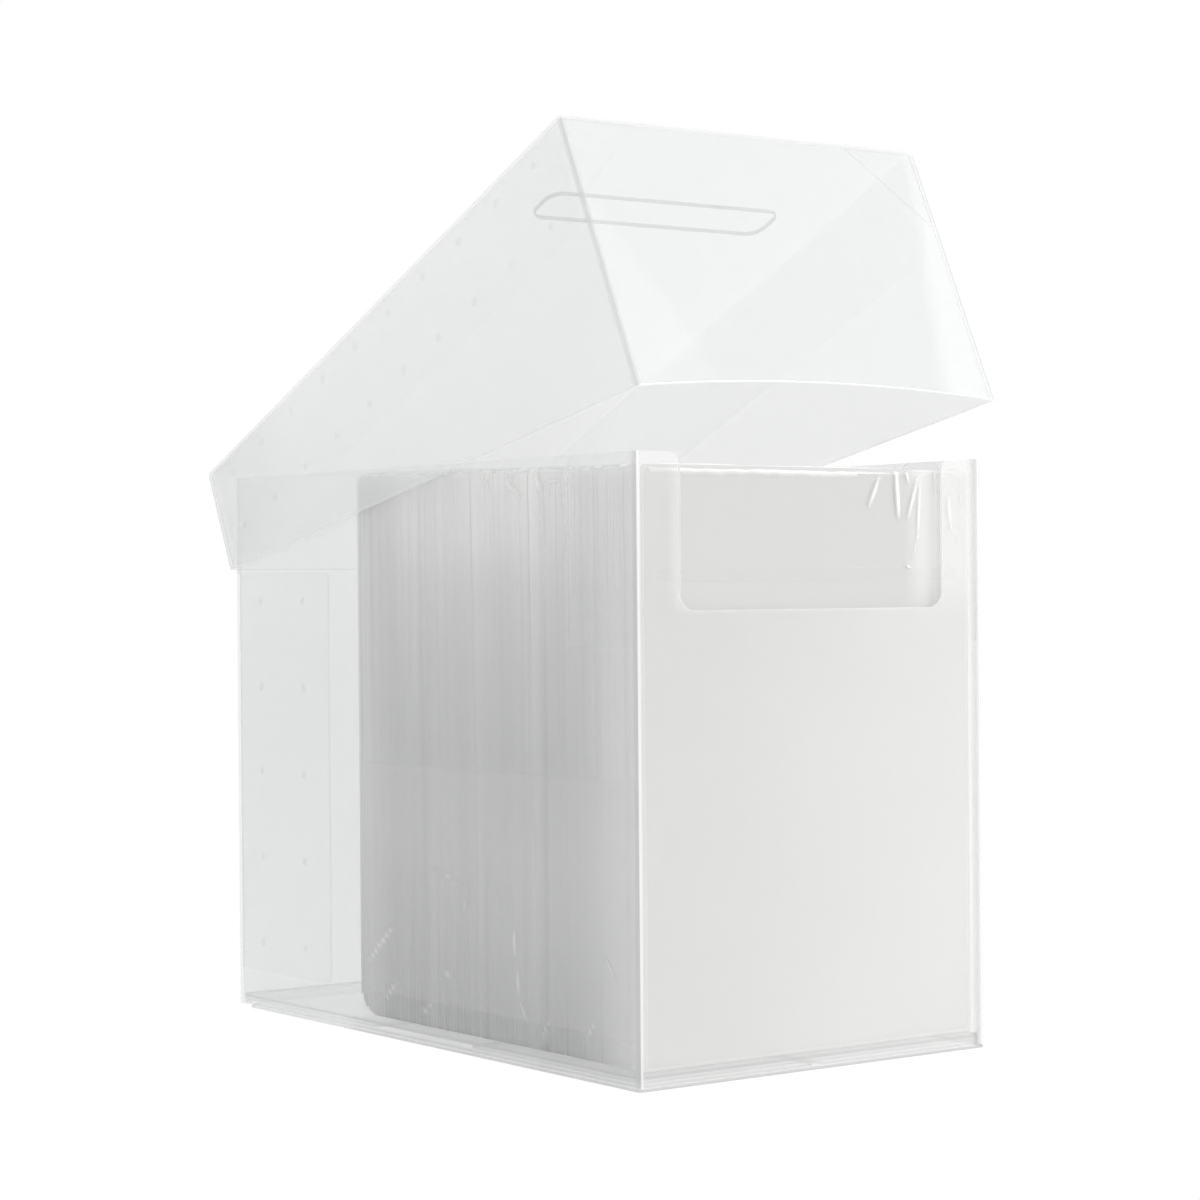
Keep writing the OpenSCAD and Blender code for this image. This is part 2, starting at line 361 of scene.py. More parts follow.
# painted shade and painted highlight for thin lines where the sheet folds or is seen edge on: a dark
# fold line, a faint fold line, a bright fold line, a bright cut edge, a darker rim edge, darker flap
# edges and a dark pressed outline
foldPaintedShade = sheetMaterial("foldPaintedShade", (0.56, 0.56, 0.57), (0.62, 0.62, 0.63), 0.43)
foldFaintShade = sheetMaterial("foldFaintShade", (0.60, 0.61, 0.61), (0.66, 0.67, 0.67), 0.38)
foldPaintedHighlight = sheetMaterial("foldPaintedHighlight", (0.93, 0.94, 0.94), (1.0, 1.0, 1.0), 0.5)
cutEdgeHighlight = sheetMaterial("cutEdgeHighlight", (0.95, 0.96, 0.96), (1.0, 1.0, 1.0), 0.85)
rimEdgeShade = sheetMaterial("rimEdgeShade", (0.74, 0.75, 0.75), (0.80, 0.81, 0.81), 0.32)
flapEdgeShade = sheetMaterial("flapEdgeShade", (0.60, 0.61, 0.61), (0.68, 0.69, 0.69), 0.20)
weldMark = sheetMaterial("weldMark", (0.66, 0.67, 0.67), (0.74, 0.75, 0.75), 0.045)
pressedLineShade = sheetMaterial("pressedLineShade", (0.30, 0.31, 0.31), (0.38, 0.39, 0.39), 0.34)
# painted shade: the edges of the floor's layers are darker than the sheet, and darker still beside
# the pack than behind it; the pad's face is painted darker under the pack
baseEdgeShade = sheetMaterial(
    "baseEdgeShade", (0.56, 0.57, 0.57), (0.64, 0.65, 0.65), 0.48, shade=(0.019, 0.025, 0.6, 1.0)
)
layerEdgeShade = sheetMaterial(
    "layerEdgeShade", (0.72, 0.73, 0.73), (0.78, 0.79, 0.79), 0.36, shade=(0.019, 0.025, 0.45, 1.0)
)
padEdgeShade = sheetMaterial(
    "padEdgeShade", (0.50, 0.51, 0.51), (0.56, 0.57, 0.57), 0.50, shade=(0.019, 0.025, 0.45, 1.0)
)
padFaceShade = sheetMaterial(
    "padFaceShade", (0.90, 0.91, 0.91), (0.94, 0.95, 0.95), 0.22, shade=(0.019, 0.025, 0.5, 1.0)
)


def filmMaterial(name, look):
    # thin glossy film: a stored crease value paints highlights on it, whiter and less clear along its
    # folds and top edges
    material, add, links, spot = startMaterial(name)
    fold = add("ShaderNodeAttribute", attribute_name="crease").outputs["Fac"]
    tone = add(
        "ShaderNodeMix",
        {"Factor": fold, "A": (*look["base"], 1), "B": (*look["white"], 1)}, data_type="RGBA"
    )
    cover = mapRange(add, fold, target=look["cover"])
    ripple = placedNoise(add, spot, look["rippleStretch"], look["rippleScale"], 2.0)
    bump = add(
        "ShaderNodeBump",
        {"Height": ripple, "Strength": look["bump"], "Distance": look["rippleDepth"]}
    )
    haze = placedNoise(add, spot, unstretched, look["hazeScale"], 3.0)
    rough = mapRange(add, haze, target=look["rough"])
    principled(add, links, {
        "Base Color": tone.outputs["Result"], "Alpha": cover, "Roughness": rough,
        "Normal": bump.outputs["Normal"], "IOR": look["ior"]
    })
    return material


wrapFilm = filmMaterial("wrapFilm", {
    "base": (0.72, 0.73, 0.72), "white": (1, 1, 1), "cover": (0.16, 0.92), "rough": (0.14, 0.24),
    "rippleScale": 90, "rippleStretch": (1, 1, 0.35), "rippleDepth": 0.0004, "bump": 0.3,
    "hazeScale": 500, "ior": 1.49
})
filmFold = sheetMaterial(
    "filmFold", (0.86, 0.86, 0.85), (0.94, 0.94, 0.93), 0.10, rough=(0.08, 0.16)
)


def sleeveMaterial(name, look):
    # stacked sleeve edges: soft upright streaks, paler towards the top; painted shade darkens the top
    # towards the back, painted light makes the rounded front and back ends paler, and a painted sheen
    # lightens the faces' upper right
    material, add, links, spot = startMaterial(name)
    smooth = "SMOOTHSTEP"
    wide = placedNoise(add, spot, (0.02, 1, 0.03), look["wideScale"], 3.0, 0.6)
    fine = placedNoise(add, spot, (0.02, 1, 0.02), look["fineScale"], 2.0, 0.5)
    thin = placedNoise(add, spot, (0.01, 1, 0.01), look["lineScale"], 1.0, 0.5)
    blend = add(
        "ShaderNodeMix", {"Factor": look["fineShare"], "A": wide, "B": fine}, data_type="FLOAT"
    ).outputs["Result"]
    streak = mapRange(add, blend, look["streakEnds"], look["streak"])
    line = mapRange(add, thin, look["lineEnds"], (-look["lineDepth"], 0))
    change = combine(add, "ADD", streak, line)
    parts = add("ShaderNodeSeparateXYZ", {"Vector": spot})
    # painted shade: the height the tone is read from drops towards the back, so the top darkens there
    backShading = mapRange(
        add, parts.outputs["Y"], look["backShadeSpan"], (1 / look["top"], look["backShadeFactor"] / look["top"])
    )
    height = combine(add, "MULTIPLY", parts.outputs["Z"], backShading)
    tone = greyRamp(add, height, look["profile"], look["warmth"])
    # painted light: paler towards the rounded front and back ends
    back = mapRange(add, parts.outputs["Y"], look["backSpan"], (0, look["backPaintedLight"]), smooth)
    front = mapRange(add, parts.outputs["Y"], look["frontSpan"], (look["frontPaintedLight"], 0), smooth)
    ends = combine(add, "MAXIMUM", back, front)
    # painted sheen at the upper right of the pack's faces
    across = mapRange(add, parts.outputs["X"], look["sheenAcross"], (0, look["sheen"]), smooth)
    upper = mapRange(add, parts.outputs["Z"], look["sheenUp"], kind=smooth)
    sheen = combine(add, "MULTIPLY", across, upper)
    paler = add(
        "ShaderNodeMix",
        {"Factor": combine(add, "MAXIMUM", ends, sheen), "A": tone, "B": (*look["pale"], 1)},
        data_type="RGBA"
    )
    paint = add(
        "ShaderNodeVectorMath", {0: paler.outputs["Result"], 1: change}, operation="ADD"
    )
    principled(add, links, {
        "Base Color": paint.outputs["Vector"], "Roughness": look["rough"], "IOR": look["ior"]
    })
    return material


sleeveLook = {
    "fineShare": 0.30, "streakEnds": (0.3, 0.7), "lineEnds": (0.33, 0.39), "backShadeSpan": (0.001, 0.020),
    "sheenAcross": (0.0190, 0.0240), "sheenUp": (0.068, 0.080), "sheen": 0.0, "rough": 0.42,
    "ior": 1.49, "warmth": 0.985, "top": 0.0945, "pale": (0.9, 0.9, 0.9), "backShadeFactor": 1.0,
    "backSpan": (0.9, 1.0), "backPaintedLight": 0.0, "frontSpan": (-1.0, -0.9), "frontPaintedLight": 0.0
}
sleeveEdge = sleeveMaterial("sleeveEdge", {
    **sleeveLook, "wideScale": 110, "fineScale": 260, "streak": (-0.15, 0.15), "lineScale": 420,
    "lineDepth": 0.08,
    "profile": [(0.03, 0.09), (0.10, 0.19), (0.20, 0.34), (0.34, 0.47), (0.52, 0.45),
                (0.66, 0.54), (0.80, 0.69), (0.90, 0.91), (0.97, 1.0)],
    "pale": (0.98, 0.98, 0.97), "backShadeFactor": 0.86, "backSpan": (0.010, 0.0216), "backPaintedLight": 0.42,
    "frontSpan": (-0.060, -0.040), "frontPaintedLight": 0.75
})
sleeveFace = sleeveMaterial("sleeveFace", {
    **sleeveLook, "wideScale": 14, "fineScale": 60, "streak": (-0.03, 0.03), "lineScale": 60,
    "lineDepth": 0.0, "profile": [(0.05, 0.62), (0.5, 0.61), (0.95, 0.58)], "sheen": 0.46
})
sleeveTop = sleeveMaterial("sleeveTop", {
    **sleeveLook, "wideScale": 160, "fineScale": 900, "streak": (-0.30, 0.22), "lineScale": 1500,
    "lineDepth": 0.20, "profile": [(0.05, 0.66), (0.5, 0.70), (0.95, 0.74)]
})
print("materials made")


boxSheet = {
    "foldRadius": 0.8 * mm, "foldSteps": 6, "thickness": 0.5 * mm, "softEdge": 0.2 * mm,
    "skin": 0.6 * mm, "sideTopFrom": 34 * mm, "topEdge": 0.3 * mm
}
wallLow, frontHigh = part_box("front_panel")
wallHigh = Vector((frontHigh.x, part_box("back_panel")[1].y, frontHigh.z))
notchSize = {
    "depth": 24 * mm, "halfWidth": 26.7 * mm, "radius": 2.5 * mm, "radiusSteps": 8,
    "postRadius": 1.6 * mm, "postSteps": 6, "reach": 3 * mm, "above": 6 * mm,
    "edgeWithin": 29 * mm, "edgeBelow": 0.2 * mm, "postBelow": 2 * mm
}

walls = addBlock("box_walls", wallLow, wallHigh)
bevelEdges(
    walls, lambda place, along: isAlong(along, "Z"), boxSheet["foldRadius"], boxSheet["foldSteps"]
)
removeFaces(walls, lambda place, normal: isAlong(normal, "Z"))
applyModifier(walls, "SOLIDIFY", thickness=boxSheet["thickness"], offset=-1, use_even_offset=True)

notchFloor = wallHigh.z - notchSize["depth"]
notchCutter = addBlock(
    "notch_cutter",
    (-notchSize["halfWidth"], wallLow.y - notchSize["reach"], notchFloor),
    (notchSize["halfWidth"], wallLow.y + notchSize["reach"], wallHigh.z + notchSize["above"])
)
bevelEdges(
    notchCutter,
    lambda place, along: isAlong(along, "Y") and place.z < notchFloor + mm,
    notchSize["radius"], notchSize["radiusSteps"]
)
cutAway(walls, notchCutter)
hingeGap = {"depth": 0.7 * mm, "below": 0.4 * mm, "reach": 3 * mm}
hingeCutter = addBlock(
    "hinge_cutter",
    (wallLow.x + boxSheet["foldRadius"], wallHigh.y - hingeGap["depth"],
     hingePoint.z - hingeGap["below"]),
    (wallHigh.x - boxSheet["foldRadius"], wallHigh.y + hingeGap["reach"],
     wallHigh.z + hingeGap["reach"])
)
cutAway(walls, hingeCutter)


def onFrontPost(place, along):
    nearTop = place.z > wallHigh.z - 0.2 * mm
    atNotch = abs(abs(place.x) - notchSize["halfWidth"]) < 0.05 * mm
    return nearTop and atNotch and isAlong(along, "Y")


bevelEdges(walls, onFrontPost, notchSize["postRadius"], notchSize["postSteps"])
softenEdges(walls, boxSheet["softEdge"])
setMaterials(walls, clearSheet, foldPaintedShade, foldPaintedHighlight, cutEdgeHighlight, litFrontSheet)


def onFrontFold(place, normal):
    slanting = 0.12 < abs(normal.x) < 0.992 and 0.12 < abs(normal.y) < 0.992
    return slanting and abs(normal.z) < 0.1 and place.y < 0


def onNotchEdge(place, normal):
    inFront = place.y < wallLow.y + boxSheet["skin"] and abs(place.x) < notchSize["edgeWithin"]
    lowest = notchFloor - notchSize["edgeBelow"]
    highest = wallHigh.z - notchSize["postBelow"]
    return inFront and abs(normal.y) < 0.97 and lowest < place.z < highest


def onSideTop(place, normal):
    atTop = place.z > wallHigh.z - boxSheet["topEdge"]
    return normal.z > 0.25 and atTop and abs(place.x) > boxSheet["sideTopFrom"]


# the front faces take the sheet painted as lit from the front-right; the front's two corner folds get
# painted shade on their side half and a painted highlight on their front half; the notch edge and the
# tops of the side walls get a painted highlight
markFaces(walls, 4, lambda p, n: p.y < wallLow.y + boxSheet["skin"] and isAlong(n, "Y"))
markFaces(walls, 1, lambda p, n: onFrontFold(p, n) and abs(n.x) > 0.45)
markFaces(walls, 2, lambda p, n: onFrontFold(p, n) and abs(n.x) <= 0.45)
markFaces(walls, 3, onNotchEdge)
markFaces(walls, 3, onSideTop)
smoothBy(walls)
handOver(
    walls, "box", "clear_sheet", "front_panel", "left_side_panel", "right_side_panel", "back_panel"
)
print("box walls folded")


plateLook = {"inset": 0.03 * mm, "softEdge": 0.08 * mm, "cornerSteps": 3}


def flatPlate(name, low, high):
    # a plate a hair smaller than its place, so that no two faces lie on each other
    inset = Vector((plateLook["inset"],) * 3)
    return addBlock(name, Vector(low) + inset, Vector(high) - inset)


def cutCorners(plate, thinAxis, width, test, steps=plateLook["cornerSteps"]):
    bevelEdges(
        plate, lambda place, along: isAlong(along, thinAxis) and test(place), width, steps
    )


floorCorner = 1.2 * mm
for nodeName in (
    "bottom_flap_left", "bottom_flap_right", "bottom_flap_front", "bottom_flap_back", "floor_pad"
):
    layer = flatPlate(nodeName + "_sheet", *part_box(nodeName))
    cutCorners(layer, "Z", floorCorner, lambda place: True)
    softenEdges(layer, plateLook["softEdge"])
    isPad = nodeName == "floor_pad"
    setMaterials(layer, padFaceShade if isPad else clearFlap, padEdgeShade if isPad else layerEdgeShade)
    markFaces(layer, 1, lambda p, n: not isAlong(n, "Z"))
    smoothBy(layer)
    handOver(layer, "box", "clear_flap", nodeName)

bottomLook = {
    "backCut": 4.5 * mm, "frontRadius": 0.9 * mm, "frontSteps": 4, "softEdge": 0.2 * mm,
    "softAngle": 30, "softSteps": 3
}
bottomSheet = addBlock("bottom_sheet", *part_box("bottom_panel"))
cutCorners(bottomSheet, "Z", bottomLook["backCut"], lambda place: place.y > 0, 1)
cutCorners(
    bottomSheet, "Z", bottomLook["frontRadius"], lambda place: place.y < 0, bottomLook["frontSteps"]
)
softenEdges(bottomSheet, bottomLook["softEdge"], bottomLook["softAngle"], bottomLook["softSteps"])
setMaterials(bottomSheet, clearSheet, baseEdgeShade)
markFaces(bottomSheet, 1, lambda p, n: not isAlong(n, "Z"))
smoothBy(bottomSheet)
handOver(bottomSheet, "box", "clear_sheet", "bottom_panel")

flapLook = {"corner": 1.5 * mm, "backFreeBefore": 0.04, "tabFreeBehind": -0.05}


def wallFlap(name, nodeName, isFree):
    # a flap against a side wall, with rounded corners at its free edge
    flap = flatPlate(name, *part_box(nodeName))
    cutCorners(flap, "X", flapLook["corner"], isFree)
    softenEdges(flap, plateLook["softEdge"])
    setMaterials(flap, clearFlap, flapEdgeShade)
    markFaces(flap, 1, lambda p, n: not isAlong(n, "X"))
    smoothBy(flap)
    handOver(flap, "box", "clear_flap", nodeName)


for side in ("left", "right"):
    wallFlap(
        "back_flap_sheet_" + side, "back_flap_" + side,
        lambda place: place.y < flapLook["backFreeBefore"]
    )
    wallFlap(
        "front_tab_sheet_" + side, "front_tab_" + side,
        lambda place: place.y > flapLook["tabFreeBehind"]
    )
print("flaps and floor laid")


weldSpot = {
    "radius": 0.75 * mm, "height": 0.1 * mm, "sides": 16, "rim": 0.35 * mm, "dish": 0.06 * mm
}
clearSelection()
bpy.ops.mesh.primitive_cylinder_add(
    vertices=weldSpot["sides"], radius=weldSpot["radius"], depth=weldSpot["height"],
    location=(0, 0, 0), rotation=(0, math.radians(90), 0)
)
weldDisc = bpy.context.object
bpy.ops.object.transform_apply(location=True, rotation=True, scale=True)
pickInEditMode(weldDisc, "FACE", lambda p, n: n.x > 0.9)
bpy.ops.mesh.inset(thickness=weldSpot["rim"])
bpy.ops.transform.translate(value=(-weldSpot["dish"], 0, 0))
leaveEditMode()


def copyTo(master, placing):
    # a copy with its own mesh, set in place by a matrix
    made = bpy.data.objects.new(master.name, master.data.copy())
    bpy.context.scene.collection.objects.link(made)
    made.data.transform(placing)
    return made


def pressWelds(name, outward, faceX, places):
    turn = Matrix.Rotation(0 if outward > 0 else math.pi, 4, "Z")
    discs = [copyTo(weldDisc, Matrix.Translation((faceX, y, z)) @ turn) for y, z in places]
    spots = joinPieces(discs, name)
    setMaterials(spots, weldMark)
    smoothBy(spots)
    return spots


boxWelds = {"columns": (9.3 * mm, 24 * mm), "rows": 5, "lowest": 12.5 * mm, "belowHinge": 5.5 * mm}
weldPitch = (hingePoint.z - boxWelds["belowHinge"] - boxWelds["lowest"]) / (boxWelds["rows"] - 1)
boxWeldPlaces = [
    (wallHigh.y - column, boxWelds["lowest"] + row * weldPitch)
    for column in boxWelds["columns"] for row in range(boxWelds["rows"])
]
for side, outward in (("left", -1), ("right", 1)):
    faceX = outward * (wallHigh.x + weldSpot["height"] / 2)
    spots = pressWelds("box_welds_" + side, outward, faceX, boxWeldPlaces)
    handOver(spots, "box", "clear_sheet")
print("box welds pressed")


lidSheet = {
    "foldRadius": 0.8 * mm, "foldSteps": 5, "thickness": 0.5 * mm, "arch": 1.8 * mm,
    "archCuts": 23, "rimAboveHinge": 0.3 * mm, "rimDrop": 4 * mm, "softEdge": 0.2 * mm,
    "softAngle": 55, "skin": 0.6 * mm
}
topLow, topHigh = closedBox("lid_top_panel")
rimFrontZ = closedBox("lid_front_panel")[0].z
lidTopZ = closedBox("lid_back_panel")[1].z + lidSheet["thickness"]
lid = addBlock(
    "lid_sheet",
    (topLow.x, topLow.y, rimFrontZ), (topHigh.x, hingePoint.y, lidTopZ)
)
rimBackZ = hingePoint.z + lidSheet["rimAboveHinge"]
moveVerts(
    lid, lambda place: place.y > 0 and place.z < lidTopZ - mm, (0, 0, rimBackZ - rimFrontZ)
)
splitEdges(lid, lambda place, along: isAlong(along, "X"), lidSheet["archCuts"])
lidHalf = topHigh.x
for v in lid.data.vertices:
    if v.co.z < lidTopZ - mm and v.co.y < 0:
        v.co.z += lidSheet["arch"] * (1 - (v.co.x / lidHalf) ** 2)


def isFold(place, along):
    onTop = place.z > lidTopZ - 0.01 * mm
    atSide = abs(abs(place.x) - lidHalf) < 0.01 * mm
    atFront = place.y < topLow.y + 0.01 * mm
    atBack = place.y > hingePoint.y - 0.01 * mm
    lengthwise = onTop and atSide and isAlong(along, "Y")
    across = onTop and (atFront or atBack) and isAlong(along, "X")
    corner = atSide and (atFront or atBack) and isAlong(along, "Z")
    return lengthwise or across or corner


bevelEdges(lid, isFold, lidSheet["foldRadius"], lidSheet["foldSteps"])
removeFaces(lid, lambda p, n: n.z < -0.5 and p.z < lidTopZ - lidSheet["rimDrop"])
applyModifier(lid, "SOLIDIFY", thickness=lidSheet["thickness"], offset=-1, use_even_offset=True)
softenEdges(lid, lidSheet["softEdge"], lidSheet["softAngle"])


def onLidRim(place, normal):
    return normal.z < -0.3 and place.z < lidTopZ - lidSheet["rimDrop"]


setMaterials(lid, lidPlastic, foldFaintShade, lidFrontShadeReflections, rimEdgeShade, foldPaintedHighlight)
# the lid's front takes its painted reflections and shade; the rim's underside gets a painted
# highlight and its outer bevel a painted shade line; the slanted fold faces get a faint painted shade
# line
markFaces(lid, 2, lambda p, n: p.y < topLow.y + lidSheet["skin"] and n.y < -0.9)
markFaces(lid, 4, onLidRim)
markFaces(lid, 3, lambda p, n: onLidRim(p, n) and abs(n.x) > 0.3 and n.x * p.x > 0)
markFaces(lid, 0, lambda p, n: p.y > hingePoint.y - mm)
markFaces(lid, 1, lambda p, n: 0.12 < abs(n.x) < 0.99 and abs(n.y) > 0.1 and abs(n.z) < 0.1)
smoothBy(lid)
swingToRest(lid)
handOver(
    lid, "lid", "clear_sheet", "lid_top_panel", "lid_front_panel", "lid_back_panel",
    "lid_left_panel", "lid_right_panel"
)
print("lid folded")

lidFlapLook = {"corner": 2.5 * mm, "cornerDrop": 5 * mm, "tabTip": 1.2 * mm}
for side, outward in (("left", -1), ("right", 1)):
    low, high = closedBox("lid_flap_" + side)
    flap = flatPlate("lid_flap_sheet_" + side, low, high)
    cutCorners(
        flap, "X", lidFlapLook["corner"], lambda place: place.z < high.z - lidFlapLook["cornerDrop"]
    )
    softenEdges(flap, plateLook["softEdge"])
    setMaterials(flap, lidFlap)
    smoothBy(flap)
    swingToRest(flap)
    handOver(flap, "lid", "clear_flap", "lid_flap_" + side)
    low, high = closedBox("lid_corner_tab_" + side)
    tab = flatPlate("lid_corner_tab_sheet_" + side, low, high)
    innerX = low.x if outward > 0 else high.x
    width = (high.x - low.x) - lidFlapLook["tabTip"]
    moveVerts(
        tab, lambda place: abs(place.x - innerX) < mm and place.z < high.z - mm,
        (outward * width, 0, 0)
    )
    softenEdges(tab, plateLook["softEdge"])
    setMaterials(tab, lidFlap, flapEdgeShade)
    markFaces(tab, 1, lambda p, n: not isAlong(n, "Y"))
    smoothBy(tab)
    swingToRest(tab)
    handOver(tab, "lid", "clear_flap", "lid_corner_tab_" + side)

lidWelds = {"drops": (4 * mm, 15 * mm), "count": 10, "inset": 9 * mm}
lidWeldPitch = (hingePoint.y - topLow.y - 2 * lidWelds["inset"]) / (lidWelds["count"] - 1)
lidWeldPlaces = [
    (hingePoint.y - lidWelds["inset"] - i * lidWeldPitch, lidTopZ - drop)
    for drop in lidWelds["drops"] for i in range(lidWelds["count"])
]
for side, outward in (("left", -1), ("right", 1)):
    faceX = outward * (lidHalf + weldSpot["height"] / 2)
    spots = pressWelds("lid_welds_" + side, outward, faceX, lidWeldPlaces)
    swingToRest(spots)
    handOver(spots, "lid", "clear_sheet")
bpy.data.objects.remove(weldDisc, do_unlink=True)

windowLine = {
    "width": 48 * mm, "depth": 7.6 * mm, "fromFront": 21.5 * mm, "line": 0.13 * mm,
    "height": 0.74 * mm, "corner": 2.6 * mm, "cornerSteps": 6
}
clearSelection()
bpy.ops.mesh.primitive_plane_add(
    size=1, location=(
        0, topLow.y + windowLine["fromFront"] + windowLine["depth"] / 2,
        lidTopZ - lidSheet["thickness"] / 2
    )
)
outline = bpy.context.object
outline.name = outline.data.name = "lid_window_outline"
outline.scale = (windowLine["width"], windowLine["depth"], 1)
bpy.ops.object.transform_apply(location=True, rotation=True, scale=True)
pickInEditMode(outline, "VERT", lambda p: True)
bpy.ops.mesh.bevel(
    offset=windowLine["corner"], segments=windowLine["cornerSteps"], affect="VERTICES"
)
leaveEditMode()
pickInEditMode(outline, "FACE", lambda p, n: True)
bpy.ops.mesh.inset(thickness=windowLine["line"])
bpy.ops.mesh.delete(type="FACE")
leaveEditMode()
applyModifier(outline, "SOLIDIFY", thickness=windowLine["height"], offset=0)
softenEdges(outline, plateLook["softEdge"])
setMaterials(outline, pressedLineShade)
smoothBy(outline)
swingToRest(outline)
handOver(outline, "lid", "clear_sheet")
print("lid fitted")


webSize = {"reach": 0.4 * mm, "thickness": 0.24 * mm, "steps": 6, "endGap": 0.4 * mm}
creaseLow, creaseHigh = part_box("hinge_crease")
web = addBlock(
    "hinge_web",
    (creaseLow.x + webSize["endGap"], hingePoint.y - webSize["thickness"],
     hingePoint.z - webSize["reach"]),
    (creaseHigh.x - webSize["endGap"], hingePoint.y, hingePoint.z + webSize["reach"])
)
splitEdges(web, lambda place, along: isAlong(along, "Z"), 2 * webSize["steps"] - 1)
for v in web.data.vertices:
    above = v.co.z - hingePoint.z
    share = min(max((above + webSize["reach"]) / (2 * webSize["reach"]), 0), 1)
    v.co = aboutHinge(restAngle * share * share * (3 - 2 * share)) @ v.co
setMaterials(web, clearSheet)
smoothBy(web, 60)
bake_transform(web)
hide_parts("hinge_crease")
print("hinge web creased")


bundleLook = {
    "leaves": 11, "gap": 0.01 * mm, "jitter": 0.07 * mm, "cornerRadius": 0.8 * mm,
    "cornerSteps": 3, "footRadius": 0.2 * mm, "footSteps": 2, "backFoot": 5.5 * mm,
    "backTop": 1.2 * mm, "backLift": 1.3 * mm, "lean": 0.022, "sideSlack": 0.12 * mm,
    "rise": 0.02 * mm, "drop": 0.12 * mm, "dropJitter": 0.10 * mm, "shareJitter": 0.28
}
bundleNames = sorted(n for n in frame["nodes"] if n.startswith("sleeve_bundle_"))
packFrontY = min(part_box(n)[0].y for n in bundleNames)
packBackY = max(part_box(n)[1].y for n in bundleNames)
packMiddleZ = sum(c.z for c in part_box(bundleNames[0])) / 2


def drawIn(y, radius):
    # how far a leaf's end draws in, near the pack's rounded back
    into = radius - (packBackY - y)
    return radius - math.sqrt(radius * radius - into * into) if into > 0 else 0


packLow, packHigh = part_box(bundleNames[0])
slack = bundleLook["sideSlack"]
oneLeaf = addBlock("leaf", (packLow.x + slack, 0, packLow.z), (packHigh.x - slack, 1, packHigh.z))
bevelEdges(
    oneLeaf, lambda p, along: isAlong(along, "Y") and p.z > packMiddleZ,
    bundleLook["cornerRadius"], bundleLook["cornerSteps"]
)
bevelEdges(
    oneLeaf, lambda p, along: isAlong(along, "Y") and p.z < packMiddleZ,
    bundleLook["footRadius"], bundleLook["footSteps"]
)


def backLift(y):
    # the pack's top rises a little from front to back
    along = min(max((y - packFrontY) / (packBackY - packFrontY), 0), 1)
    return bundleLook["backLift"] * along * along * (3 - 2 * along)


for number, nodeName in enumerate(bundleNames):
    low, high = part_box(nodeName)
    leaves = []
    leafCount = bundleLook["leaves"]
    share = (high.y - low.y) / leafCount
    y = low.y
    for i in range(leafCount):
        wobble = noise.noise(Vector((number * 3.7, i * 1.9, 0.5)))
        other = noise.noise(Vector((i * 2.3, 7.1, number * 1.3)))
        uneven = bundleLook["shareJitter"] * share * other if i + 1 < leafCount else 0
        nextY = low.y + (i + 1) * share + uneven
        middle = (y + nextY) / 2
        shift = bundleLook["jitter"] * wobble
        rise = bundleLook["rise"] + drawIn(middle, bundleLook["backFoot"])
        drop = bundleLook["drop"] + drawIn(middle, bundleLook["backTop"])
        drop += bundleLook["dropJitter"] * abs(wobble)
        thickness = nextY - y - bundleLook["gap"]
        along = (middle - packFrontY) / (packBackY - packFrontY)
        drop -= backLift(middle)
        lean = bundleLook["lean"] * math.sin(math.pi * along)
        leaf = copyTo(oneLeaf, Matrix.Diagonal((1, thickness, 1, 1)))
        for v in leaf.data.vertices:
            v.co.z += rise if v.co.z < packMiddleZ else -drop
            v.co.y += y + bundleLook["gap"] / 2 + lean * (v.co.z - packMiddleZ)
            v.co.x += shift
        y = nextY
        leaves.append(leaf)
    bundle = joinPieces(leaves, nodeName + "_sleeves")
    setMaterials(bundle, sleeveEdge, sleeveFace, sleeveTop)
    markFaces(bundle, 1, lambda p, n: isAlong(n, "Y"))
    markFaces(bundle, 2, lambda p, n: n.z > 0.9)
    smoothBy(bundle)
    handOver(bundle, "sleeve_pack", "sleeve_plastic", nodeName)
bpy.data.objects.remove(oneLeaf, do_unlink=True)
print("sleeves stacked")

filmSize = {
    "cuts": 95, "frontFoot": 1.0 * mm, "frontTop": 1.4 * mm, "backFoot": 5.5 * mm,
    "backTop": 1.2 * mm, "sides": 1.6 * mm, "most": 0.34 * mm, "sharpAngle": 60,
    "gatherX": 10 * mm, "gatherZ": 77 * mm, "frontCuts": 2, "sideGatherY": (-42 * mm, -16 * mm),
    "sideGatherZ": 78 * mm, "sideCuts": 1
}
